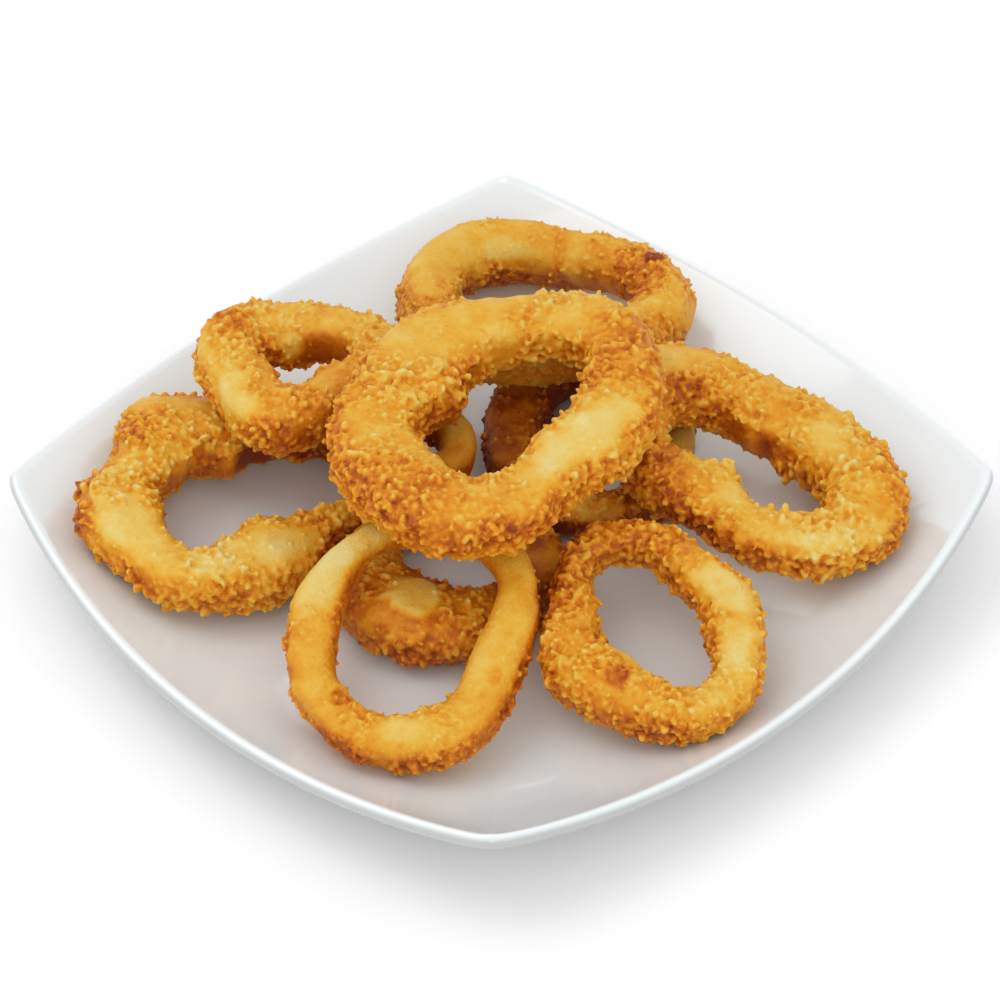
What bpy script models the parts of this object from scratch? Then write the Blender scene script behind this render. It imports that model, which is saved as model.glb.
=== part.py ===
"""Onion rings side: ten fried onion rings heaped on a square porcelain plate.

Metres, +Z up. The plate's sides run along X and Y, its foot stands on z = 0 and its
middle is over the origin. The heap is laid out in a frame of its own, turned so that
its -Y points at the plate's front corner, which is the corner at +X -Y.
"""

import math
from collections import namedtuple

import bmesh
import bpy
from mathutils import Matrix, Vector

MM = 0.001
COLLECTION = "onion_rings_side"

# Plate: driving sizes
DIAGONAL = 270 * MM            # corner to corner, along the middle of the lip
SIDE_BOW = 16.9 * MM           # how far the middle of a side stands out from its chord
CORNER_SOFTNESS = 1.6 * MM     # blending length where two sides meet
RIM_AT_CORNER = 28 * MM        # height of the lip's middle over the table
RIM_AT_SIDE = 18.3 * MM
RIM_SWEEP = 2.2                # power by which the rim climbs towards a corner
WALL = 4.2 * MM                # thickness of the dish and of its round lip
FLOOR = 6.2 * MM               # height of the well's floor
WELL_SHARE = 0.50              # flat part of the well, as a share of the outline
DISH_POWER = 2.5               # how the dish curves up from the well to the lip
FOOT_SHARE = 0.50              # outer edge of the foot ring, as a share of the outline
FOOT_WIDTH = 5 * MM
FOOT_DEPTH = 1.4 * MM          # recess inside the foot ring

# Plate: fineness
POINTS_PER_SIDE = 14
DISH_SHARES = (0.25, 0.50, 0.63, 0.73, 0.81, 0.88, 0.94)
LIP_STEPS = 5

# Rings: fineness
CLOCK_POINTS = 36
SECTION_POINTS = 10
SECTION_SQUARENESS = 2.7       # power of the rounded-box section; 2 is an ellipse
SWELL_IN_HEIGHT = 0.4          # share of a swell in width that the band's height follows

HEAP_TURN = math.radians(45)

# One fried ring. Lengths are in millimetres, angles in degrees in the heap's frame, and
# the clock of a ring starts at the heap's +X and runs anticlockwise seen from above.
#   centre   middle of the ring
#   rise     (towards, slope): the side that is lifted, and by how much
#   radius   mean radius of the middle line
#   waves    (count, share of radius, towards): how the outline leaves a circle
#   band     (width, height) of the coated onion band
#   swells   (count, share, towards): where the band is thicker
#   lean     how far the band tips up at its outer edge, as a slice from an onion's shoulder
Ring = namedtuple("Ring", "centre rise radius waves band swells lean", defaults=(0,))

RINGS = {
    "ring_left": Ring(
        centre=(-71.5, 3.5, 19.6), rise=(180, 8.5), radius=31.9,
        waves=((1, 0.02, -38), (2, 0.22, 39), (3, 0.07, 26), (4, 0.04, -43), (5, 0.01, -7), (6, 0.02, 16), (7, 0.03, -10)),
        band=(21.1, 16.5),
        swells=((1, 0.24, 146), (2, 0.21, -80), (3, 0.12, 48), (4, 0.09, 26), (5, 0.1, -6), (6, 0.02, 22))),
    "ring_left_upper": Ring(
        centre=(-57, 36.2, 36.7), rise=(190, 3.5), radius=19,
        waves=((2, 0.08, 25), (3, 0.14, 25), (4, 0.05, -5)),
        band=(18.5, 16.5),
        swells=((1, 0.04, -150), (2, 0.04, 75), (3, 0.07, 0))),
    "ring_centre": Ring(
        centre=(0.5, 2.6, 48.3), rise=(90, 2.5), radius=33.5,
        waves=((2, 0.2, 55), (3, 0.04, 25), (5, 0.05, -20)),
        band=(25, 17),
        swells=((1, 0.12, 165), (2, 0.1, -25), (3, 0.06, 10), (4, 0.04, -30))),
    "ring_front_left": Ring(
        centre=(-22, -58.1, 26.1), rise=(90, 11), radius=30.5,
        waves=((2, 0.16, 75), (3, 0.03, 40)),
        band=(13.5, 13),
        swells=((1, 0.2, -80), (2, 0.12, -20), (3, 0.06, 55))),
    "ring_front_right": Ring(
        centre=(41, -55.6, 24), rise=(60, 7.5), radius=25,
        waves=((2, 0.18, -65), (3, 0.04, -30), (4, 0.08, 25)),
        band=(15, 14),
        swells=((1, 0.14, -80), (2, 0.15, 35), (3, 0.03, 0), (4, 0.05, -20))),
    "ring_right": Ring(
        centre=(68, 5.4, 27.4), rise=(150, 7), radius=26.9,
        waves=((1, 0.04, 12), (2, 0.33, -38), (3, 0.01, 34), (4, 0.04, 40), (5, 0.04, -19)),
        band=(22.5, 17),
        swells=((1, 0.16, 59), (2, 0.04, 47), (3, 0.15, -5), (4, 0.05, 27), (5, 0.02, -24))),
    "ring_back": Ring(
        centre=(11, 72.6, 28.3), rise=(290, 7), radius=30.5,
        waves=((1, 0.12, 95), (2, 0.14, -15), (3, 0.07, 5)),
        band=(17, 18),
        swells=((1, 0.09, 130), (2, 0.04, -50), (3, 0.04, 0)), lean=25),
    "ring_under_front": Ring(
        centre=(-13.5, -21.3, 14.1), rise=(215, 0.5), radius=22.8,
        waves=((1, 0.02, -25), (2, 0.04, -5), (3, 0.01, 16), (4, 0.01, 20)),
        band=(17.6, 13),
        swells=((1, 0.38, -114), (2, 0.19, 52), (3, 0.02, -25), (4, 0.02, 20), (5, 0.01, -25))),
    "ring_under_right": Ring(
        centre=(26.8, 34.1, 14.1), rise=(95, 0.5), radius=28,
        waves=((1, 0.05, -92), (2, 0.17, 86), (3, 0.03, 53)),
        band=(15.2, 13),
        swells=((1, 0.22, 152), (2, 0.07, -58), (3, 0.05, -29), (4, 0.03, 5))),
    "ring_under_left": Ring(
        centre=(-22, 13.4, 27.1), rise=(200, 5), radius=11.5,
        waves=((2, 0.1, 90),),
        band=(10.5, 13),
        swells=((1, 0.1, 0),)),
}

PORCELAIN = ((0.86, 0.87, 0.88, 1), 0.12)
CRUST = ((0.80, 0.42, 0.09, 1), 0.55)


def clear_scene():
    for obj in list(bpy.data.objects):
        bpy.data.objects.remove(obj, do_unlink=True)


def finish(name, colour, roughness):
    material = bpy.data.materials.new(name)
    material.use_nodes = True
    shader = material.node_tree.nodes["Principled BSDF"]
    shader.inputs["Base Color"].default_value = colour
    shader.inputs["Roughness"].default_value = roughness
    material.diffuse_color = colour
    return material


def part_object(name, mesh, material, parts):
    mesh.materials.append(material)
    mesh.shade_smooth()
    obj = bpy.data.objects.new(name, mesh)
    parts.objects.link(obj)
    return obj


# ---------------------------------------------------------------- plate

HALF_CHORD = DIAGONAL / math.sqrt(8)
SIDE_RADIUS = (HALF_CHORD**2 + SIDE_BOW**2) / (2 * SIDE_BOW)
SIDE_CENTRE = HALF_CHORD + SIDE_BOW - SIDE_RADIUS


def side_distance(angle):
    """Distance from the plate's middle to the arc of one side, measured from its normal."""
    sideways = SIDE_CENTRE * math.sin(angle)
    return SIDE_CENTRE * math.cos(angle) + math.sqrt(SIDE_RADIUS**2 - sideways**2)


def outline(quarter, from_normal):
    """(unit direction, distance, height) of the lip, on the side that faces a quarter turn."""
    here = side_distance(from_normal)
    beyond = side_distance(math.pi / 2 - abs(from_normal))
    soft = math.exp(-(beyond - here) / CORNER_SOFTNESS)
    distance = here - CORNER_SOFTNESS * math.log1p(soft)
    along = abs(distance * math.sin(from_normal)) / HALF_CHORD
    height = RIM_AT_SIDE + (RIM_AT_CORNER - RIM_AT_SIDE) * min(along, 1) ** RIM_SWEEP
    angle = quarter * math.pi / 2 + from_normal
    return Vector((math.cos(angle), math.sin(angle), 0)), distance, height


def outline_points():
    """The lip's points all the way round, closest together at the corners."""
    points = []
    for quarter in range(4):
        for step in range(POINTS_PER_SIDE):
            share = 2 * step / POINTS_PER_SIDE - 1
            points.append(outline(quarter, math.pi / 4 * math.sin(math.pi / 2 * share)))
    return points


def dish_height(share, rim):
    """Height of the dish's inside, where the middle of the lip stands at height rim."""
    climb = max(share - WELL_SHARE, 0) / (1 - WELL_SHARE)
    return FLOOR + (rim + WALL / 2 - FLOOR) * climb**DISH_POWER


def plate_sections():
    """Closed loops from the middle of the well, over the lip, to the middle of the foot."""
    lip = outline_points()
    radius = WALL / 2

    def loop(place):
        return [direction * along + Vector((0, 0, up)) for direction, along, up in map(place, lip)]

    for share in DISH_SHARES:
        yield loop(lambda p: (p[0], share * p[1], dish_height(share, p[2])))
    for step in range(LIP_STEPS + 1):
        turn = math.pi * step / LIP_STEPS
        out, up = radius * math.sin(turn), radius * math.cos(turn)
        yield loop(lambda p: (p[0], p[1] + out, p[2] + up))
    for share in reversed(DISH_SHARES):
        if share > FOOT_SHARE:
            yield loop(lambda p: (p[0], share * p[1], dish_height(share, p[2]) - WALL))
    for inset, height in ((0, 0), (FOOT_WIDTH, 0), (FOOT_WIDTH + FOOT_DEPTH, FOOT_DEPTH)):
        yield loop(lambda p: (p[0], FOOT_SHARE * p[1] - inset, height))


def build_plate(parts):
    shape = bmesh.new()
    loops = [[shape.verts.new(point) for point in section] for section in plate_sections()]
    count = len(loops[0])
    for upper, lower in zip(loops, loops[1:]):
        for i in range(count):
            j = (i + 1) % count
            shape.faces.new((upper[i], lower[i], lower[j], upper[j]))
    for ring, height in ((loops[0], FLOOR), (loops[-1], FOOT_DEPTH)):
        middle = shape.verts.new((0, 0, height))
        for i in range(count):
            shape.faces.new((ring[i], ring[(i + 1) % count], middle))
    bmesh.ops.recalc_face_normals(shape, faces=shape.faces)
    mesh = bpy.data.meshes.new("plate")
    shape.to_mesh(mesh)
    shape.free()
    part_object("plate", mesh, finish("glazed_porcelain", *PORCELAIN), parts)


# ---------------------------------------------------------------- rings


def unevenness(terms, clock):
    """Sum of waves round the ring: each has a count, a size and where it peaks."""
    return sum(
        size * math.cos(count * (clock - math.radians(towards)))
        for count, size, towards in terms
    )


def rounded_box(angle, width, height, lean):
    """A point of the band's section, at an angle round its middle."""
    power = 2 / SECTION_SQUARENESS

    def squared(value, size):
        return math.copysign(abs(value) ** power, value) * size / 2

    flat = Vector((squared(math.cos(angle), width), squared(math.sin(angle), height)))
    return Matrix.Rotation(math.radians(lean), 2) @ flat


def heap_place(ring):
    """Places a ring: lifted towards one side, in the heap's frame, turned onto the plate."""
    towards, slope = (math.radians(value) for value in ring.rise)
    lift = Matrix.Rotation(-slope, 4, Vector((-math.sin(towards), math.cos(towards), 0)))
    turn = Matrix.Rotation(HEAP_TURN, 4, "Z")
    return turn @ Matrix.Translation(Vector(ring.centre) * MM) @ lift


def build_ring(name, ring, material, parts):
    bpy.ops.mesh.primitive_torus_add(
        major_segments=CLOCK_POINTS, minor_segments=SECTION_POINTS, major_radius=1, minor_radius=0.25
    )
    torus = bpy.context.object
    mesh = torus.data
    for vertex in mesh.vertices:
        x, y, z = vertex.co
        clock = math.atan2(y, x)
        around = math.atan2(z, math.hypot(x, y) - 1)
        swell = unevenness(ring.swells, clock)
        width = ring.band[0] * (1 + swell)
        height = ring.band[1] * (1 + SWELL_IN_HEIGHT * swell)
        out, up = rounded_box(around, width, height, ring.lean)
        reach = ring.radius * (1 + unevenness(ring.waves, clock)) + out
        vertex.co = Vector((reach * math.cos(clock), reach * math.sin(clock), up)) * MM
    bpy.data.objects.remove(torus)
    mesh.name = name
    part_object(name, mesh, material, parts).matrix_world = heap_place(ring)


def main():
    clear_scene()
    parts = bpy.data.collections.new(COLLECTION)
    bpy.context.scene.collection.children.link(parts)
    build_plate(parts)
    crust = finish("fried_crust", *CRUST)
    for name, ring in RINGS.items():
        build_ring(name, ring, crust, parts)


if __name__ == "__main__":
    main()
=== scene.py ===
"""Onion rings side: ten crumbed, fried onion rings heaped on a square porcelain plate.

Laid out as an add-on. The settings hold the driving sizes, one operator makes the plate,
one makes the rings and one makes the stage, and a panel in the sidebar lists them. Each
ring is grown on its CAD node: the band's middle line, width and height are read from the
node, and the crumb coat is built on them as real mesh.

Sizes inside the code are in millimetres, and angles of a ring are in degrees:
  clock    round the ring, from the heap's +X, anticlockwise seen from above
  around   round the band's section: 0 faces outwards, 90 up, 180 the hole, 270 down
The heap's frame is turned so that its -Y points at the plate's front corner, +X -Y.
"""

import math
from collections import namedtuple
from itertools import product

import bmesh
import bpy
import numpy as np
from bpy.props import FloatProperty, FloatVectorProperty, IntProperty, PointerProperty
from bpy.types import Operator, Panel, PropertyGroup
from mathutils import Matrix, Vector
from mathutils.kdtree import KDTree


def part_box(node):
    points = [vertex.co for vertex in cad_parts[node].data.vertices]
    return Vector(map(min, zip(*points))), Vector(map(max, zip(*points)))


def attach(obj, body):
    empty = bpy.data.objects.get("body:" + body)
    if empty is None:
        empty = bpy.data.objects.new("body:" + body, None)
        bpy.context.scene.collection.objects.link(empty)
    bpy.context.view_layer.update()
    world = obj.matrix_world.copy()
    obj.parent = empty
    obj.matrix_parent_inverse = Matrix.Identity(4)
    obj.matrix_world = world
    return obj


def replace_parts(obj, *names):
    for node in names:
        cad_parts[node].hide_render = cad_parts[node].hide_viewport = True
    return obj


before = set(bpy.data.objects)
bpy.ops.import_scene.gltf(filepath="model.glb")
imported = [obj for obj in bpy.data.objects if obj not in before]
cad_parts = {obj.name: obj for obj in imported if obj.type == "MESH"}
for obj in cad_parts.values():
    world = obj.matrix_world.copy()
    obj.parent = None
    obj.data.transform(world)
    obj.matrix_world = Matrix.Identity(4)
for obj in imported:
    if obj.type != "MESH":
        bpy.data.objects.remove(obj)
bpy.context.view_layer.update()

bl_info = {
    "name": "Onion rings side",
    "version": (1, 0, 0),
    "blender": (4, 5, 0),
    "location": "View3D > Sidebar > Onion rings",
    "description": "Builds a heap of crumbed onion rings on a square porcelain plate",
    "category": "Object",
}

MM = 0.001
HEAP_TURN = math.radians(45)


# ---------------------------------------------------------------- settings


class PlateSettings(PropertyGroup):
    diagonal: FloatProperty(
        name="Diagonal", description="Corner to corner, along the middle of the lip",
        default=270 * MM, unit="LENGTH")
    side_bow: FloatProperty(
        name="Side bow", description="How far the middle of a side stands out from its chord",
        default=16.9 * MM, unit="LENGTH")
    corner_softness: FloatProperty(
        name="Corner softness", description="Blending length where two sides meet",
        default=1.6 * MM, unit="LENGTH")
    rim_at_corner: FloatProperty(
        name="Rim at corner", description="Height of the lip's middle at a corner",
        default=28 * MM, unit="LENGTH")
    rim_at_side: FloatProperty(
        name="Rim at side", description="Height of the lip's middle halfway along a side",
        default=18.3 * MM, unit="LENGTH")
    rim_sweep: FloatProperty(
        name="Rim sweep", description="Power by which the rim climbs towards a corner",
        default=2.2)
    wall: FloatProperty(
        name="Wall", description="Thickness of the dish and of its round lip",
        default=4.2 * MM, unit="LENGTH")
    floor: FloatProperty(
        name="Floor", description="Height of the well's floor",
        default=6.2 * MM, unit="LENGTH")
    well_share: FloatProperty(
        name="Well share", description="Flat part of the well, as a share of the outline",
        default=0.50, subtype="FACTOR")
    dish_power: FloatProperty(
        name="Dish power", description="How the dish curves up from the well to the lip",
        default=2.5)
    foot_share: FloatProperty(
        name="Foot share", description="Outer edge of the foot ring, as a share of the outline",
        default=0.50, subtype="FACTOR")
    foot_width: FloatProperty(
        name="Foot width", description="Width of the foot ring's flat face",
        default=5 * MM, unit="LENGTH")
    foot_depth: FloatProperty(
        name="Foot depth", description="Recess inside the foot ring",
        default=1.4 * MM, unit="LENGTH")
    colour: FloatVectorProperty(
        name="Glaze colour", description="Colour of the glazed porcelain",
        default=(0.815, 0.875, 0.890), size=3, subtype="COLOR")
    # Painted shade: a darker grey for the glaze past the crest of the lip, standing in for the shade on
    # the lip's outer side, which faces down and away from the light.
    lip_shade_colour: FloatVectorProperty(
        name="Edge colour", description="Colour of the glaze past the crest of the lip",
        default=(0.430, 0.445, 0.435), size=3, subtype="COLOR")


class CrustSettings(PropertyGroup):
    cell: FloatProperty(
        name="Cell", description="Mesh cell of the finished crust",
        default=0.44 * MM, unit="LENGTH")
    crumb: FloatProperty(
        name="Crumb", description="Usual radius of a crumb that stands out of the crust",
        default=0.62 * MM, unit="LENGTH")
    crumbs_per_cm2: FloatProperty(
        name="Crumbs per square centimetre", description="Crumbs where the coat is heaviest",
        default=92)
    unevenness: FloatProperty(
        name="Unevenness", description="Size of the batter's slow swells",
        default=0.8 * MM, unit="LENGTH")
    seed: IntProperty(name="Seed", description="Start of the repeatable scatter", default=7)


class StageSettings(PropertyGroup):
    camera_place: FloatVectorProperty(
        name="Camera place", description="Where the camera stands",
        default=(0.53610, -0.49722, 0.69151), size=3, subtype="XYZ", unit="LENGTH")
    lens: FloatProperty(
        name="Lens", description="Focal length on a 36 mm sensor, in millimetres",
        default=128.6)
    key_strength: FloatProperty(
        name="Key light", description="Power of the large soft light, in watts", default=3.0)
    sky_strength: FloatProperty(
        name="Surrounding light", description="Strength of the even light from all sides",
        default=0.93)


# ---------------------------------------------------------------- mesh tools


def mesh_object(name, points, faces, material):
    """A smooth-shaded object from an array of points in metres and one of equal faces."""
    mesh = bpy.data.meshes.new(name)
    sides = faces.shape[1]
    mesh.vertices.add(len(points))
    mesh.loops.add(faces.size)
    mesh.polygons.add(len(faces))
    mesh.vertices.foreach_set("co", np.asarray(points, np.float32).ravel())
    mesh.loops.foreach_set("vertex_index", faces.astype(np.int32).ravel())
    mesh.polygons.foreach_set("loop_start", np.arange(0, faces.size, sides, dtype=np.int32))
    mesh.update(calc_edges=True)
    mesh.validate()
    mesh.shade_smooth()
    if material:
        mesh.materials.append(material)
    obj = bpy.data.objects.new(name, mesh)
    bpy.context.scene.collection.objects.link(obj)
    return obj


def vertex_array(mesh, what="co"):
    values = np.empty(len(mesh.vertices) * 3, np.float32)
    source = mesh.vertices if what == "co" else mesh.vertex_normals
    source.foreach_get("co" if what == "co" else "vector", values)
    return values.reshape(-1, 3).astype(float)


def moved(points, matrix):
    matrix = np.array(matrix)
    return points @ matrix[:3, :3].T + matrix[:3, 3]


def wrapped_grid(rows, columns):
    """Quads of a grid that closes on itself both ways."""
    row, column = np.meshgrid(np.arange(rows), np.arange(columns), indexing="ij")
    below, right = (row + 1) % rows, (column + 1) % columns
    corners = (row * columns + column, below * columns + column,
               below * columns + right, row * columns + right)
    return np.stack([corner.ravel() for corner in corners], axis=1)


def triangles(quads):
    return np.concatenate([quads[:, [0, 1, 2]], quads[:, [0, 2, 3]]])


def smoothed(points, edges, rounds):
    """Each point drawn to the mean of its neighbours, several times."""
    ends = np.concatenate([edges, edges[:, ::-1]])
    count = np.maximum(np.bincount(ends[:, 0], minlength=len(points)), 1)[:, None]
    for _ in range(rounds):
        points = np.stack(
            [np.bincount(ends[:, 0], points[ends[:, 1], axis], len(points)) for axis in range(3)],
            axis=1) / count
    return points


# ---------------------------------------------------------------- repeatable noise


def cell_value(cells, seed):
    """A repeatable number from -1 to 1 for each whole-numbered cell."""
    x, y, z = cells.astype(np.int64).T
    mixed = (x * 374761393 + y * 668265263 + z * 1274126177 + seed * 362437) & 0xFFFFFFFF
    mixed = ((mixed ^ (mixed >> 13)) * 1103515245) & 0xFFFFFFFF
    mixed = ((mixed ^ (mixed >> 15)) * 22695477) & 0xFFFFFFFF
    return (mixed ^ (mixed >> 16)) / 0x7FFFFFFF - 1


def noise(points, size, seed):
    """Smooth noise from about -1 to 1, with swells about size across."""
    place = points @ np.array(((0.80, 0.36, -0.48), (-0.60, 0.48, -0.64), (0.0, 0.80, 0.60))) / size
    base = np.floor(place)
    part = place - base
    part = part * part * (3 - 2 * part)
    total = np.zeros(len(points))
    for corner in product((0, 1), repeat=3):
        weight = np.where(corner, part, 1 - part).prod(axis=1)
        total += weight * cell_value(base + corner, seed)
    return total * 1.5


def layered(points, size, seed, layers=3):
    return sum(noise(points, size / 2**n, seed + 11 * n) / 2**n for n in range(layers))


def smoothstep(value, start, end):
    share = np.clip((value - start) / (end - start), 0, 1)
    return share * share * (3 - 2 * share)


# ---------------------------------------------------------------- plate


def side_distance(angle, chord, bow):
    """Distance from the plate's middle to the arc of one side, measured from its normal."""
    radius = (chord**2 + bow**2) / (2 * bow)
    centre = chord + bow - radius
    sideways = centre * np.sin(angle)
    return centre * np.cos(angle) + np.sqrt(radius**2 - sideways**2)


def plate_outline(plate, per_side):
    """(directions, distances, heights) of the lip's middle, closest together at the corners."""
    chord = plate.diagonal / math.sqrt(8)
    share = 2 * np.arange(per_side) / per_side - 1
    leaning = math.pi / 4 * np.sin(math.pi / 2 * share)
    here = side_distance(leaning, chord, plate.side_bow)
    beyond = side_distance(math.pi / 2 - abs(leaning), chord, plate.side_bow)
    soft = np.exp(-(beyond - here) / plate.corner_softness)
    distance = here - plate.corner_softness * np.log1p(soft)
    along = np.minimum(abs(distance * np.sin(leaning)) / chord, 1)
    height = plate.rim_at_side + (plate.rim_at_corner - plate.rim_at_side) * along**plate.rim_sweep
    angle = (np.arange(4)[:, None] * math.pi / 2 + leaning).ravel()
    return (np.stack([np.cos(angle), np.sin(angle)], axis=1),
            np.tile(distance, 4), np.tile(height, 4))


def plate_mesh(plate, per_side):
    """(points, triangles, outside) of the plate: dish, round lip, underside, foot ring and
    recess. Outside is 0 on the face that carries food, 1 past the crest of the lip; it masks
    the painted shade on the lip's outer side."""
    direction, distance, rim = plate_outline(plate, per_side)
    radius = plate.wall / 2

    def dish(share):
        climb = max(share - plate.well_share, 0) / (1 - plate.well_share)
        return plate.floor + (rim + radius - plate.floor) * climb**plate.dish_power

    loops = [(share * distance, dish(share)) for share in np.linspace(0.12, 0.985, 34)]
    outside = [0.0] * len(loops)
    for turn in np.linspace(0, math.pi, 15):
        outside.append(float(smoothstep(turn, 0.25, 1.2)))
        loops.append((distance + radius * math.sin(turn), rim + radius * math.cos(turn)))
    for share in np.linspace(0.985, plate.foot_share + 0.015, 18):
        loops.append((share * distance, dish(share) - plate.wall))
    edge, soft = plate.foot_share * distance, plate.foot_depth / 2
    for inset, height in (
            (-0.2 * soft, 1.6 * soft), (0.05 * soft, 0.8 * soft), (0.3 * soft, 0.2 * soft),
            (soft, 0), (plate.foot_width / 2, 0), (plate.foot_width - soft, 0),
            (plate.foot_width - 0.3 * soft, 0.2 * soft), (plate.foot_width, 0.8 * soft),
            (plate.foot_width + 0.6 * soft, 1.7 * soft), (plate.foot_width + 2 * soft, 2 * soft),
            (plate.foot_width + 8 * soft, 2 * soft)):
        loops.append((edge - inset, np.full(len(edge), height)))
    points = np.concatenate(
        [np.column_stack([direction * along[:, None], up]) for along, up in loops]
        + [[(0, 0, plate.floor), (0, 0, plate.foot_depth)]])
    count = len(direction)
    quads = wrapped_grid(len(loops), count)[:(len(loops) - 1) * count]
    step = np.arange(count)
    last = (len(loops) - 1) * count
    top = np.column_stack([step, (step + 1) % count, np.full(count, len(points) - 2)])
    foot = np.column_stack([last + (step + 1) % count, last + step, np.full(count, len(points) - 1)])
    outside = np.repeat(outside + [1.0] * (len(loops) - len(outside)), count)
    return points, np.concatenate([triangles(quads), top, foot]), np.append(outside, (0, 1))


# ---------------------------------------------------------------- ring bands

# Where each ring's own axes sit in the heap: its middle, the side that is lifted with the
# slope, and how far the band tips up at its outer edge. The band comes from the CAD node.
Seat = namedtuple("Seat", "centre rise lean", defaults=(0,))
SEATS = {
    "ring_left": Seat((-71.5, 3.5, 19.6), (180, 8.5)),
    "ring_left_upper": Seat((-57, 36.2, 36.7), (190, 3.5)),
    "ring_centre": Seat((0.5, 2.6, 48.3), (90, 2.5)),
    "ring_front_left": Seat((-22, -58.1, 26.1), (90, 11)),
    "ring_front_right": Seat((41, -55.6, 24), (60, 7.5)),
    "ring_right": Seat((68, 5.4, 27.4), (150, 7)),
    "ring_back": Seat((11, 72.6, 28.3), (290, 7), 25),
    "ring_under_front": Seat((-13.5, -21.3, 14.1), (215, 0.5)),
    "ring_under_right": Seat((26.8, 34.1, 14.1), (95, 0.5)),
    "ring_under_left": Seat((-22, 13.4, 27.1), (200, 5)),
}
SQUARENESS = 2.7
CAD_SECTIONS = 36
CAD_TOP = math.sin(math.radians(72)) ** (2 / SQUARENESS)


def periodic(samples, clock):
    """Reads between evenly spaced samples round the clock, by the waves that make them up."""
    terms = np.fft.rfft(samples) / len(samples)
    count = np.arange(len(terms))
    share = np.where((count == 0) | (count == len(samples) // 2), 1, 2)
    return (np.exp(1j * np.outer(clock, count)) @ (terms * share)).real


def turned(out, up, angle):
    """A section's coordinates, turned so that outwards swings up by the angle."""
    return (out * math.cos(angle) - up * math.sin(angle),
            out * math.sin(angle) + up * math.cos(angle))


class Band:
    """The smooth body of one ring: middle line, width and height, read from its CAD node."""

    def __init__(self, name):
        seat = SEATS[name]
        towards, slope = (math.radians(value) for value in seat.rise)
        lift = Matrix.Rotation(-slope, 4, Vector((-math.sin(towards), math.cos(towards), 0)))
        turn = Matrix.Rotation(HEAP_TURN, 4, "Z")
        self.place = turn @ Matrix.Translation(Vector(seat.centre)) @ lift
        corners = vertex_array(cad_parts[name].data) / MM
        x, y, z = moved(corners, self.place.inverted()).T
        column = np.round(np.arctan2(y, x) / (2 * math.pi) * CAD_SECTIONS).astype(int) % CAD_SECTIONS
        self.lean = math.radians(seat.lean)
        out, up = turned(np.hypot(x, y), z, -self.lean)
        sections = [np.flatnonzero(column == n) for n in range(CAD_SECTIONS)]
        if min(map(len, sections)) < 8:
            raise RuntimeError(f"{name}: its CAD node doesn't have {CAD_SECTIONS} sections")
        self.width = np.array([np.ptp(out[s]) for s in sections])
        self.height = np.array([np.ptp(up[s]) for s in sections]) / CAD_TOP
        middles = ([(side[s].max() + side[s].min()) / 2 for s in sections] for side in (out, up))
        self.middle = turned(*map(np.array, middles), self.lean)[0]

    def surface(self, clock, around, lift=0.0):
        """Points of the band, in the ring's own axes. Angles are in radians here."""
        power = 2 / SQUARENESS
        out, up = np.cos(around), np.sin(around)
        out = np.sign(out) * abs(out) ** power * (periodic(self.width, clock) / 2 + lift)
        up = np.sign(up) * abs(up) ** power * (periodic(self.height, clock) / 2 + lift)
        out, up = turned(out, up, self.lean)
        reach = periodic(self.middle, clock) + out
        return np.stack([reach * np.cos(clock), reach * np.sin(clock), up], axis=1)

    def angles(self, points):
        """(clock, around, height over the band) of points in the ring's own axes."""
        x, y, z = points.T
        clock = np.arctan2(y, x)
        width, height = periodic(self.width, clock), periodic(self.height, clock)
        out, up = turned(np.hypot(x, y) - periodic(self.middle, clock), z, -self.lean)
        out, up = out / (width / 2), up / (height / 2)
        level = (abs(out) ** SQUARENESS + abs(up) ** SQUARENESS) ** (1 / SQUARENESS)
        power = SQUARENESS / 2
        around = np.arctan2(np.sign(up) * abs(up) ** power, np.sign(out) * abs(out) ** power)
        return clock, around, (level - 1) * (width + height) / 4


# ---------------------------------------------------------------- crust

# One place on a ring where the crust differs from the rest.
#   at       (clock, around)
#   reach    half lengths along the clock and round the section
#   tone     -1 paler ... +1 darker, for more toast and for painted shade
#   coat     -1 bald batter ... +1 heaped with crumbs
#   lift     how far the surface stands out there
Patch = namedtuple("Patch", "at reach tone coat lift", defaults=(0, 0, 0))

# One ring's crust as a whole.
#   tone     overall, on the same scale
#   coat     share of the surface that carries crumbs
#   grain    crumb size against the usual one
Crust = namedtuple("Crust", "tone coat grain patches", defaults=((),))

# Patches on the hole side, round 150 to 195, that raise the tone are painted shade on the walls of the
# hole.
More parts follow.
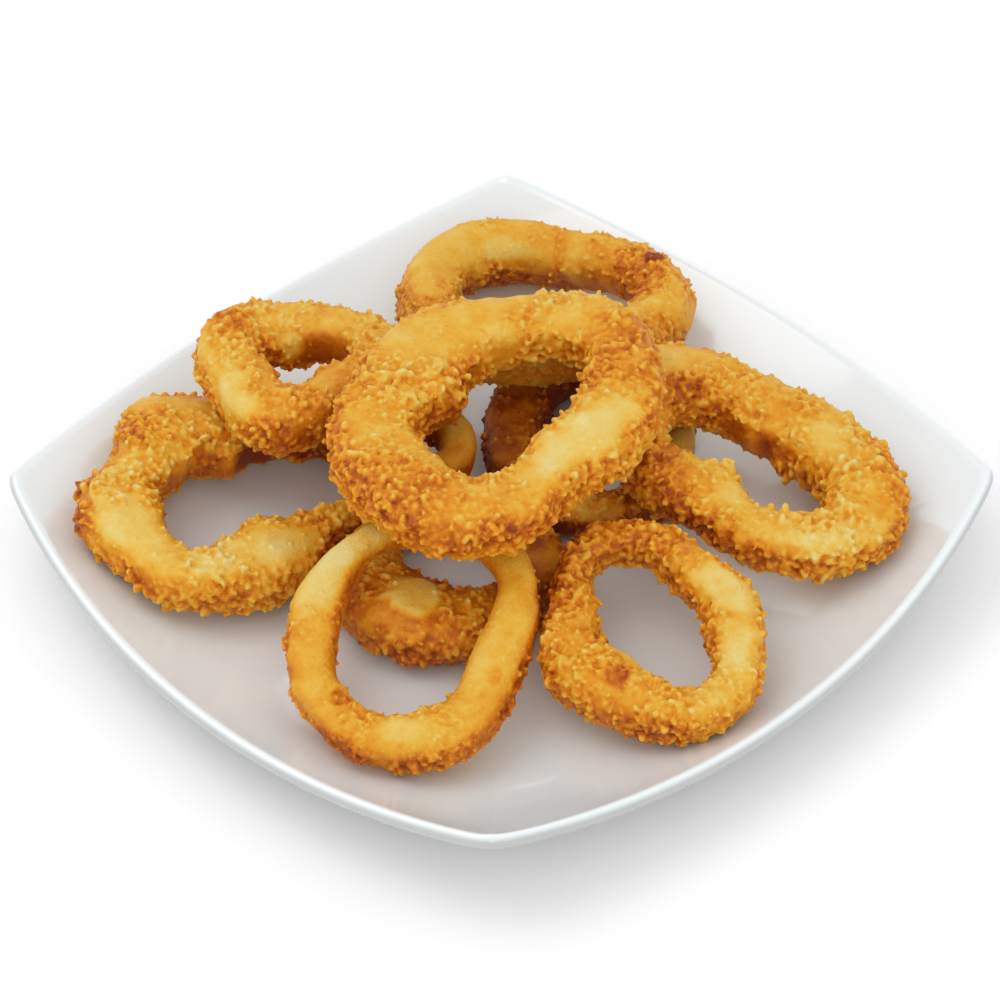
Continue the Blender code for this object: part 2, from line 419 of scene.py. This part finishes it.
CRUSTS = {
    "ring_left": Crust(0.22, 0.80, 0.95, (
        Patch((220, 70), (12, 7), -0.38, -0.6),
        Patch((180, 80), (8, 5), -0.20, -0.2),
        Patch((270, 75), (15, 6), -0.35, -0.25),
        Patch((300, 70), (9, 5), -0.30, -0.45),
        Patch((120, 180), (40, 5), 0.35, -0.75),
        Patch((60, 180), (25, 6), 0.45, -0.8),
        Patch((150, 85), (6, 6), 0.15, 0.3, 0.8),
        Patch((162, 60), (4, 4), 0.35, 0.3, 1.6),
        Patch((205, 15), (4, 4), 0.55, 0.3, 1.6),
        Patch((190, 10), (3, 3), 0.40, 0.3, 1.4),
        Patch((245, 5), (16, 5), 0.15, 0.4, 0.5),
        Patch((318, 85), (5, 5), 0.20, -0.2),
        Patch((336, 90), (10, 40), 0.15, 0.4, 0.4))),
    "ring_left_upper": Crust(0.22, 0.75, 0.95, (
        Patch((228, 45), (9, 8), -0.40, -0.45),
        Patch((195, 30), (9, 6), -0.25, -0.6),
        Patch((113, 160), (8, 4), -0.55, -0.7),
        Patch((60, 180), (16, 6), 0.35, -0.85),
        Patch((155, 75), (5, 6), 0.55, 0.4, 1.6),
        Patch((112, 90), (10, 5), -0.05, 0.2, 0.3),
        Patch((285, 20), (13, 7), 0.20, -0.1),
        Patch((302, 95), (8, 5), -0.05, -0.5),
        Patch((320, 60), (7, 5), 0.35, -0.3))),
    "ring_centre": Crust(0.16, 0.80, 0.95, (
        Patch((118, 85), (18, 7), 0.02, -0.45),
        Patch((150, 55), (10, 6), -0.10, -0.2),
        Patch((326, 78), (17, 6), -0.42, -0.60),
        Patch((300, 95), (9, 5), -0.20, -0.3),
        Patch((236, 70), (18, 10), 0.38, 0.35, 0.6),
        Patch((205, 30), (16, 6), 0.35, 0.3, 0.4),
        Patch((35, 95), (14, 9), 0.30, 0.3, 0.6),
        Patch((5, 40), (14, 6), 0.25, 0.3, 0.4),
        Patch((270, 150), (12, 4), 0.10, 0.4, 0.8),
        Patch((150, 190), (26, 6), 0.25, -0.5),
        Patch((255, 20), (18, 5), 0.30, 0.3, 0.4))),
    "ring_front_left": Crust(0.22, 0.25, 0.7, (
        Patch((150, 75), (14, 7), -0.42, -0.45),
        Patch((120, 90), (12, 7), -0.42, -0.45),
        Patch((60, 80), (12, 6), -0.15, -0.4),
        Patch((20, 90), (12, 6), 0.05, 0.1),
        Patch((165, 150), (22, 3), 0.45, 0.2, 0.5),
        Patch((193, 45), (10, 7), 0.18, 0.2),
        Patch((235, 90), (12, 6), 0.10, 0.4, 0.4),
        Patch((235, 120), (3, 3), 0.20, 0.3, -1.2),
        Patch((245, 10), (8, 4), 0.45, 0.5, 0.4),
        Patch((285, 5), (16, 4), 0.35, 0.5, 0.4),
        Patch((269, 95), (7, 3), -0.35, -0.6),
        Patch((308, 105), (9, 4), -0.15, -0.4),
        Patch((320, 82), (2.6, 2), 0.30, 0.1),
        Patch((350, 0), (16, 4), 0.40, 0.3))),
    "ring_front_right": Crust(0.28, 0.90, 0.85, (
        Patch((111, 95), (20, 9), 0.40, 0.15, 0.3),
        Patch((150, 30), (16, 6), 0.35, 0.1),
        Patch((23, 92), (9, 5), -0.50, -0.45),
        Patch((333, 92), (10, 5), -0.45, -0.50),
        Patch((0, 60), (8, 4), -0.20, -0.2),
        Patch((228, 100), (6, 5), 0.00, 0.4, 0.9),
        Patch((205, 140), (5, 4), 0.10, 0.3, 0.8),
        Patch((250, 150), (12, 4), -0.40, -0.5),
        Patch((248, 88), (3.5, 3), 0.50, 0.0),
        Patch((183, 85), (12, 7), 0.00, 0.2),
        Patch((265, 10), (14, 5), 0.20, 0.2, 0.3))),
    "ring_right": Crust(0.22, 0.85, 0.95, (
        Patch((60, 45), (20, 4), -0.20, -0.2),
        Patch((76, 110), (9, 5), 0.10, -0.3),
        Patch((10, 90), (12, 5), -0.20, -0.2),
        Patch((120, 70), (10, 6), -0.30, -0.7),
        Patch((132, 125), (11, 5), 0.35, 0.1),
        Patch((309, 52), (13, 5), -0.45, -0.4),
        Patch((283, 90), (15, 6), -0.10, -0.2),
        Patch((204, 58), (12, 7), 0.35, 0.1),
        Patch((183, 90), (10, 8), 0.45, 0.1),
        Patch((265, 5), (18, 4), 0.40, 0.3, 0.4),
        Patch((349, 60), (9, 5), 0.25, 0.3, 0.4),
        Patch((80, 180), (26, 6), 0.35, -0.6))),
    "ring_back": Crust(0.18, 0.42, 0.8, (
        Patch((112, 115), (9, 5), -0.42, -0.5),
        Patch((150, 80), (13, 8), -0.10, -0.4),
        Patch((90, 60), (16, 5), 0.05, 0.2),
        Patch((76, 120), (2.5, 9), 0.45, 0.3, 0.8),
        Patch((66, 150), (5, 3.5), -0.15, 0.2, 0.8),
        Patch((40, 115), (14, 8), 0.30, 0.2, 0.3),
        Patch((7, 107), (13, 9), 0.40, 0.6, 0.4),
        Patch((18, 60), (3, 3), 1.10, 0.2, 0.4),
        Patch((118, 195), (28, 4), 0.35, -0.1),
        Patch((180, 120), (10, 8), 0.30, 0.5, 0.3))),
    # The three rings under the heap get a high tone: partly darker toast, partly painted shade where the
    # rings above keep the light off; their paler patches are painted light where it reaches through.
    "ring_under_front": Crust(0.60, 0.75, 0.9, (
        Patch((246, 100), (9, 5), -0.50, -0.5, 1.2),
        Patch((340, 90), (16, 9), 0.45, -0.5),
        Patch((263, 10), (20, 5), -0.15, 0.1, 0.3))),
    "ring_under_right": Crust(1.00, 0.35, 0.9, (
        Patch((263, 60), (10, 5), -0.70, -0.3),
        Patch((345, 60), (9, 5), -0.85, -0.3))),
    "ring_under_left": Crust(0.55, 0.20, 0.9),
}

# Triangles left in each finished crust, in thousands.
FINENESS = {
    "ring_left": 115, "ring_left_upper": 80, "ring_centre": 135, "ring_front_left": 70,
    "ring_front_right": 85, "ring_right": 120, "ring_back": 90, "ring_under_front": 50,
    "ring_under_right": 35, "ring_under_left": 15,
}


def patch_weight(band, patch, clock, around, points, seed):
    """1 inside a patch and 0 outside, with a ragged border."""
    turn = np.angle(np.exp(1j * (clock - math.radians(patch.at[0]))))
    roll = np.angle(np.exp(1j * (around - math.radians(patch.at[1]))))
    along = turn * periodic(band.middle, clock) / patch.reach[0]
    across = roll * (periodic(band.width, clock) + periodic(band.height, clock)) / 4 / patch.reach[1]
    ragged = 0.22 * noise(points, 5, seed) + 0.12 * noise(points, 2, seed + 1)
    return 1 - smoothstep(np.hypot(along, across) + ragged, 0.6, 1.25)


def crust_fields(band, crust, points, clock, around, seed):
    """(tone, coat, lift) at points in the ring's own axes."""
    up, out = np.sin(around), np.cos(around)
    # Painted shade: the tone is made paler on the band's top and darker underneath and on the outer and
    # hole walls, where less light falls; the layered noise is the crust's own uneven toast.
    tone = crust.tone - 0.14 * up + 0.30 * out**2 + 0.16 * layered(points, 16, seed, 2)
    coat = crust.coat - 0.30 * np.maximum(up, 0) ** 2 + 0.45 * layered(points, 13, seed + 50, 2)
    lift = np.zeros(len(points))
    for number, patch in enumerate(crust.patches):
        weight = patch_weight(band, patch, clock, around, points, seed + 90 + number)
        tone = tone + weight * patch.tone
        coat = coat + weight * patch.coat
        lift = lift + weight * patch.lift
    return tone, np.clip(coat, 0, 1), lift


def crumb_shapes(random, count=14):
    """Unit lumps with irregular corners, and the triangles that they share."""
    ball = bmesh.new()
    bmesh.ops.create_icosphere(ball, subdivisions=2, radius=1)
    points = np.array([vertex.co for vertex in ball.verts])
    faces = np.array([[vertex.index for vertex in face.verts] for face in ball.faces])
    ball.free()
    shapes = []
    for n in range(count):
        push = 1 + 0.28 * noise(points, 0.9, 300 + n) + 0.12 * noise(points, 0.45, 340 + n)
        shapes.append(points * push[:, None] * random.uniform((0.95, 0.8, 0.6), (1.3, 1.05, 0.9)))
    return np.array(shapes), faces


def random_turns(random, count):
    """Rotation matrices spread evenly over all directions."""
    w, x, y, z = (lambda q: q / np.linalg.norm(q, axis=0))(random.normal(size=(4, count)))
    return np.moveaxis(np.array((
        (1 - 2 * (y * y + z * z), 2 * (x * y - z * w), 2 * (x * z + y * w)),
        (2 * (x * y + z * w), 1 - 2 * (x * x + z * z), 2 * (y * z - x * w)),
        (2 * (x * z - y * w), 2 * (y * z + x * w), 1 - 2 * (x * x + y * y)))), 2, 0)


def grid_normals(points, rows, columns):
    grid = points.reshape(rows, columns, 3)
    along = np.roll(grid, -1, 0) - np.roll(grid, 1, 0)
    across = np.roll(grid, -1, 1) - np.roll(grid, 1, 1)
    normal = np.cross(along, across).reshape(-1, 3)
    size = np.linalg.norm(normal, axis=1, keepdims=True)
    return normal / size, size[:, 0] / 4


def remeshed(obj, cell, most_triangles):
    """The object's own skin as one closed mesh of at most so many triangles. Removes the object."""
    union = obj.modifiers.new("one_skin", "REMESH")
    union.mode = "VOXEL"
    union.voxel_size = cell
    union.adaptivity = 0
    ease = obj.modifiers.new("ease", "SMOOTH")
    ease.factor, ease.iterations = 0.5, 1
    graph = bpy.context.evaluated_depsgraph_get()
    faces = 2 * len(obj.evaluated_get(graph).data.polygons)
    fewer = obj.modifiers.new("fewer", "DECIMATE")
    fewer.ratio = min(1, most_triangles / faces)
    graph = bpy.context.evaluated_depsgraph_get()
    mesh = bpy.data.meshes.new_from_object(obj.evaluated_get(graph))
    bpy.data.objects.remove(obj)
    return mesh


def grow_ring(name, settings, material):
    """One crumbed ring: smooth band, swells and patches, crumbs, then one skin over it all."""
    crust, band = CRUSTS[name], Band(name)
    seed = settings.seed + 1000 * list(SEATS).index(name)
    random = np.random.default_rng(seed)
    cell = settings.cell / MM * 1

    rows, columns = 300, 96
    clock, around = (side.ravel() for side in np.meshgrid(
        np.arange(rows) * 2 * math.pi / rows, np.arange(columns) * 2 * math.pi / columns,
        indexing="ij"))
    points = band.surface(clock, around, lift=-0.6)
    normals, area = grid_normals(points, rows, columns)
    if (normals * (points - band.surface(clock, around, lift=-2))).sum() < 0:
        normals = -normals
    tone, coat, lift = crust_fields(band, crust, points, clock, around, seed)
    swell = settings.unevenness / MM
    lift = lift + swell * layered(points, 12, seed + 20, 2) * 0.6
    ragged = layered(points, 3.4, seed + 30, 3)
    lift += (0.08 + 0.55 * coat) * np.where(ragged > 0, 1.3, 0.7) * ragged
    base = points + normals * lift[:, None]

    shapes, shape_faces = crumb_shapes(random)
    wanted = area * (0.03 + coat**1.3) * settings.crumbs_per_cm2 / 100
    count = random.poisson(wanted.sum())
    chosen = random.choice(len(base), count, p=wanted / wanted.sum())
    radius = settings.crumb / MM * crust.grain * np.clip(random.lognormal(-0.1, 0.42, count), 0.5, 2.4)
    radius *= 0.7 + 0.4 * coat[chosen]
    middle = base[chosen] + random.normal(0, 0.3, (count, 3))
    middle += normals[chosen] * (radius * random.uniform(-0.3, 0.5, count))[:, None]
    kind = random.integers(len(shapes), size=count)
    lumps = np.einsum("nij,nkj->nki", random_turns(random, count), shapes[kind])
    crumbs = (lumps * radius[:, None, None] + middle[:, None, :]).reshape(-1, 3)
    offsets = len(base) + np.arange(count)[:, None, None] * shapes.shape[1]
    faces = np.concatenate([
        triangles(wrapped_grid(rows, columns)), (shape_faces[None] + offsets).reshape(-1, 3)])
    raw = mesh_object(name + "_raw", np.concatenate([base, crumbs]) * MM, faces, None)
    mesh = remeshed(raw, cell * MM, FINENESS[name] * (1000))

    local = vertex_array(mesh) / MM
    edges = np.empty(len(mesh.edges) * 2, np.int32)
    mesh.edges.foreach_get("vertices", edges)
    edges = edges.reshape(-1, 2)
    skin = vertex_array(mesh, "normal")
    clock, around, over = band.angles(local)
    tone, coat, _ = crust_fields(band, crust, local, clock, around, seed)
    local += skin * ((0.05 + 0.12 * coat) * noise(local, 1.3, seed + 40))[:, None]
    # Relief: how far each point stands out of its smoothed surroundings; the crust shader darkens the
    # hollows with it as painted shade and makes the crests paler as painted highlight.
    relief = ((local - smoothed(local, edges, 12)) * skin).sum(axis=1)

    finder = KDTree(count)
    for number, place in enumerate(middle):
        finder.insert(place, number)
    finder.balance()
    found = [finder.find(place)[1:] for place in local]
    nearest = np.array([index for index, _ in found])
    close = np.array([distance for _, distance in found]) / radius[nearest]
    own = random.normal(0, 0.2, count)[nearest] * (1 - smoothstep(close, 0.9, 1.4))

    mesh.vertices.foreach_set("co", (moved(local, band.place) * MM).astype(np.float32).ravel())
    mesh.update()
    for label, values in (("tone", tone + own), ("relief", relief), ("coat", coat)):
        mesh.attributes.new(label, "FLOAT", "POINT").data.foreach_set("value", values.astype(np.float32))
    mesh.shade_smooth()
    mesh.materials.clear()
    mesh.materials.append(material)
    mesh.name = name + "_crust"
    obj = bpy.data.objects.new(name + "_crust", mesh)
    bpy.context.scene.collection.objects.link(obj)
    return obj


# ---------------------------------------------------------------- materials


def new_group(name, inputs, outputs):
    """(tree, group input node, group output node). Each socket is (name, kind, default)."""
    tree = bpy.data.node_groups.new(name, "ShaderNodeTree")
    for way, sockets in (("INPUT", inputs), ("OUTPUT", outputs)):
        for label, kind, value in sockets:
            socket = tree.interface.new_socket(label, in_out=way, socket_type=kind)
            if value is not None:
                socket.default_value = value
    return tree, tree.nodes.new("NodeGroupInput"), tree.nodes.new("NodeGroupOutput")


def node(tree, kind, settings=None, **inputs):
    """A node with its settings, and inputs given as values or as sockets to link from."""
    made = tree.nodes.new(kind)
    for key, value in (settings or {}).items():
        setattr(made, key, value)
    for key, value in inputs.items():
        socket = made.inputs[int(key[1:])] if key[0] == "i" and key[1:].isdigit() else made.inputs[key.replace("_", " ")]
        if isinstance(value, bpy.types.NodeSocket):
            tree.links.new(value, socket)
        else:
            socket.default_value = value
    return made


def maths(tree, operation, first, second=0.0, clamp=False):
    return node(tree, "ShaderNodeMath", {"operation": operation, "use_clamp": clamp},
                i0=first, i1=second).outputs[0]


# Ramp from pale golden crust to dark red-brown; its dark stops serve both well-toasted crust and the
# painted shade that the tone carries.
CRUST_COLOURS = (
    (0.00, (0.730, 0.590, 0.220, 1)),
    (0.22, (0.730, 0.490, 0.100, 1)),
    (0.42, (0.720, 0.385, 0.032, 1)),
    (0.60, (0.690, 0.260, 0.008, 1)),
    (0.78, (0.520, 0.132, 0.003, 1)),
    (1.00, (0.240, 0.036, 0.001, 1)),
)


def crust_group():
    """Colour, roughness and fine height of fried crumb, from how toasted and coated it is. The tone
    also carries painted shade, and the relief darkens hollows as painted shade and pales crests
    as painted highlight.
    """
    tree, given, made = new_group(
        "Fried crust",
        (("Tone", "NodeSocketFloat", 0.0), ("Relief", "NodeSocketFloat", 0.0),
         ("Coat", "NodeSocketFloat", 0.5), ("Grain", "NodeSocketFloat", 1.0)),
        (("Colour", "NodeSocketColor", None), ("Roughness", "NodeSocketFloat", None),
         ("Height", "NodeSocketFloat", None)))
    place = node(tree, "ShaderNodeTexCoord").outputs["Object"]
    grain = given.outputs["Grain"]
    broad = node(tree, "ShaderNodeTexNoise", Vector=place, Scale=160, Detail=2).outputs[0]
    fine = node(tree, "ShaderNodeTexNoise", Vector=place, Detail=3, Roughness=0.6,
                Scale=maths(tree, "DIVIDE", 620, grain)).outputs[0]
    bits = node(tree, "ShaderNodeTexVoronoi", Vector=place,
                Scale=maths(tree, "DIVIDE", 720, grain))
    bit = node(tree, "ShaderNodeSeparateColor", Color=bits.outputs["Color"]).outputs[0]
    coat = given.outputs["Coat"]
    tone = maths(tree, "ADD", given.outputs["Tone"],
                 maths(tree, "MULTIPLY", maths(tree, "SUBTRACT", broad, 0.5), 0.5))
    tone = maths(tree, "ADD", tone, maths(tree, "MULTIPLY", maths(tree, "SUBTRACT", fine, 0.5), 0.5))
    speck = maths(tree, "MULTIPLY", maths(tree, "SUBTRACT", bit, 0.5),
                  maths(tree, "ADD", maths(tree, "MULTIPLY", coat, 0.22), 0.10))
    tone = maths(tree, "ADD", tone, speck)
    # Painted shade and highlight: hollows between crumbs are darkened and crests made paler by the relief.
    relief_shading = maths(tree, "MULTIPLY", given.outputs["Relief"], -0.75)
    tone = maths(tree, "ADD", tone, relief_shading)
    share = maths(tree, "MULTIPLY_ADD", tone, 0.5, clamp=True)
    share.node.inputs[2].default_value = 0.40
    ramp = node(tree, "ShaderNodeValToRGB", Fac=share)
    stops = ramp.color_ramp.elements
    while len(stops) < len(CRUST_COLOURS):
        stops.new(0.5)
    for stop, (position, colour) in zip(stops, CRUST_COLOURS):
        stop.position, stop.color = position, colour
    rough = maths(tree, "MULTIPLY_ADD", fine, 0.25)
    rough.node.inputs[2].default_value = 0.36
    height = maths(tree, "ADD", fine, maths(tree, "MULTIPLY", bits.outputs["Distance"], 0.6))
    for source, label in ((ramp.outputs[0], "Colour"), (rough, "Roughness"), (height, "Height")):
        tree.links.new(source, made.inputs[label])
    return tree


def principled(material):
    material.use_nodes = True
    return material.node_tree, material.node_tree.nodes["Principled BSDF"]


def crust_material(name, group, grain, bump):
    material = bpy.data.materials.new(name)
    tree, shader = principled(material)
    crust = node(tree, "ShaderNodeGroup", {"node_tree": group}, Grain=grain)
    for label, attribute in (("Tone", "tone"), ("Relief", "relief"), ("Coat", "coat")):
        read = node(tree, "ShaderNodeAttribute", {"attribute_name": attribute})
        tree.links.new(read.outputs["Fac"], crust.inputs[label])
    raised = node(tree, "ShaderNodeBump", Strength=bump, Distance=0.35 * MM,
                  Height=crust.outputs["Height"])
    tree.links.new(crust.outputs["Colour"], shader.inputs["Base Color"])
    tree.links.new(crust.outputs["Roughness"], shader.inputs["Roughness"])
    tree.links.new(raised.outputs[0], shader.inputs["Normal"])
    shader.inputs["Subsurface Weight"].default_value = 0.15
    shader.inputs["Subsurface Radius"].default_value = (1.0, 0.45, 0.12)
    shader.inputs["Subsurface Scale"].default_value = 1.6 * MM
    shader.inputs["Specular IOR Level"].default_value = 0.2
    return material


def porcelain_material(plate):
    material = bpy.data.materials.new("Glazed porcelain")
    tree, shader = principled(material)
    place = node(tree, "ShaderNodeTexCoord").outputs["Object"]
    slow = node(tree, "ShaderNodeTexNoise", Vector=place, Scale=14, Detail=1).outputs[0]
    # The glaze colour turns to the painted shade colour past the crest of the lip, standing in for the
    # shade on the lip's outer side.
    outside = node(tree, "ShaderNodeAttribute", {"attribute_name": "outside"}).outputs["Fac"]
    glaze_with_lip_shade = node(tree, "ShaderNodeMix", {"data_type": "RGBA"}, Factor=outside)
    glaze_with_lip_shade.inputs[6].default_value = (*plate.colour, 1)
    glaze_with_lip_shade.inputs[7].default_value = (*plate.lip_shade_colour, 1)
    raised = node(tree, "ShaderNodeBump", Strength=0.06, Distance=0.4 * MM, Height=slow)
    tree.links.new(glaze_with_lip_shade.outputs[2], shader.inputs["Base Color"])
    tree.links.new(raised.outputs[0], shader.inputs["Normal"])
    shader.inputs["Roughness"].default_value = 0.2
    shader.inputs["Specular IOR Level"].default_value = 0.9
    shader.inputs["Coat Weight"].default_value = 1
    shader.inputs["Coat Roughness"].default_value = 0.08
    return material


# ---------------------------------------------------------------- operators


class ONION_OT_plate(Operator):
    """Build the glazed plate with its dish, round lip and foot ring"""

    bl_idname = "onion.plate"
    bl_label = "Plate"

    def execute(self, context):
        settings = context.scene.onion_plate
        points, faces, outside = plate_mesh(settings, 48)
        plate = mesh_object("porcelain_plate", points, faces, porcelain_material(settings))
        plate.data.attributes.new("outside", "FLOAT", "POINT").data.foreach_set(
            "value", outside.astype(np.float32))
        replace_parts(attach(plate, "root"), "plate")
        return {"FINISHED"}


class ONION_OT_rings(Operator):
    """Grow the crumbed rings on their CAD bands"""

    bl_idname = "onion.rings"
    bl_label = "Crumbed rings"

    def execute(self, context):
        group = crust_group()
        for name, crust in CRUSTS.items():
            material = crust_material("Crust " + name, group, crust.grain, 0.5)
            ring = grow_ring(name, context.scene.onion_crust, material)
            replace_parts(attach(ring, "root"), name)
            low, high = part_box(name)
            for axis in range(3):
                values = [point[axis] for point in (ring.bound_box[0], ring.bound_box[6])]
                if values[0] < low[axis] - 6 * MM or values[1] > high[axis] + 6 * MM:
                    raise RuntimeError(f"{name} stands out of its CAD box")
        return {"FINISHED"}


class ONION_OT_stage(Operator):
    """Set the pale floor, the soft lights and the camera"""

    bl_idname = "onion.stage"
    bl_label = "Stage"

    def execute(self, context):
        settings, scene = context.scene.onion_stage, context.scene
        material = bpy.data.materials.new("Pale floor")
        tree, shader = principled(material)
        shader.inputs["Base Color"].default_value = (0.99, 0.99, 0.99, 1)
        shader.inputs["Roughness"].default_value = 0.9
        corners = np.array([(-4, -4, 0), (4, -4, 0), (4, 4, 0), (-4, 4, 0)], float)
        mesh_object("floor", corners, np.array([(0, 1, 2, 3)]), material)

        world = bpy.data.worlds.new("Soft light all round")
        world.use_nodes = True
        sky = world.node_tree.nodes["Background"]
        sky.inputs["Color"].default_value = (1, 1, 1, 1)
        sky.inputs["Strength"].default_value = settings.sky_strength
        scene.world = world
        for name, place, size, power in (
                ("key_light", (-0.55, -0.35, 1.3), 1.0, settings.key_strength),
                ("front_light", (1.05, -0.85, 0.80), 1.2, settings.key_strength * 1.2)):
            light = bpy.data.lights.new(name, "AREA")
            light.shape, light.size, light.energy = "DISK", size, power
            lamp = bpy.data.objects.new(name, light)
            lamp.location = place
            lamp.rotation_mode = "QUATERNION"
            lamp.rotation_quaternion = (-Vector(place)).to_track_quat("-Z", "Y")
            scene.collection.objects.link(lamp)

        camera = bpy.data.objects.new("camera", bpy.data.cameras.new("camera"))
        camera.data.sensor_width, camera.data.lens = 36, settings.lens
        camera.data.clip_start, camera.data.clip_end = 0.05, 20
        right = Vector((0.694455, 0.719201, -0.0219727))
        up = Vector((-0.475623, 0.481747, 0.7360054))
        turn = Matrix((right, up, right.cross(up))).transposed()
        camera.matrix_world = Matrix.LocRotScale(Vector(settings.camera_place), turn.to_quaternion(), None)
        scene.collection.objects.link(camera)
        scene.camera = camera
        scene.view_settings.view_transform = "Standard"
        return {"FINISHED"}


class ONION_PT_panel(Panel):
    bl_label = "Onion rings side"
    bl_idname = "ONION_PT_panel"
    bl_space_type = "VIEW_3D"
    bl_region_type = "UI"
    bl_category = "Onion rings"

    def draw(self, context):
        for label, settings, operator in (
                ("Plate", "onion_plate", "onion.plate"),
                ("Crust", "onion_crust", "onion.rings"),
                ("Stage", "onion_stage", "onion.stage")):
            box = self.layout.box()
            box.label(text=label)
            group = getattr(context.scene, settings)
            for key in group.__annotations__:
                box.prop(group, key)
            box.operator(operator)


CLASSES = (PlateSettings, CrustSettings, StageSettings, ONION_OT_plate, ONION_OT_rings,
           ONION_OT_stage, ONION_PT_panel)


def register():
    for item in CLASSES:
        bpy.utils.register_class(item)
    bpy.types.Scene.onion_plate = PointerProperty(type=PlateSettings)
    bpy.types.Scene.onion_crust = PointerProperty(type=CrustSettings)
    bpy.types.Scene.onion_stage = PointerProperty(type=StageSettings)


def unregister():
    del bpy.types.Scene.onion_stage, bpy.types.Scene.onion_crust, bpy.types.Scene.onion_plate
    for item in reversed(CLASSES):
        bpy.utils.unregister_class(item)


def main():
    register()
    bpy.ops.onion.plate()
    bpy.ops.onion.rings()
    bpy.ops.onion.stage()


if __name__ == "__main__":
    main()
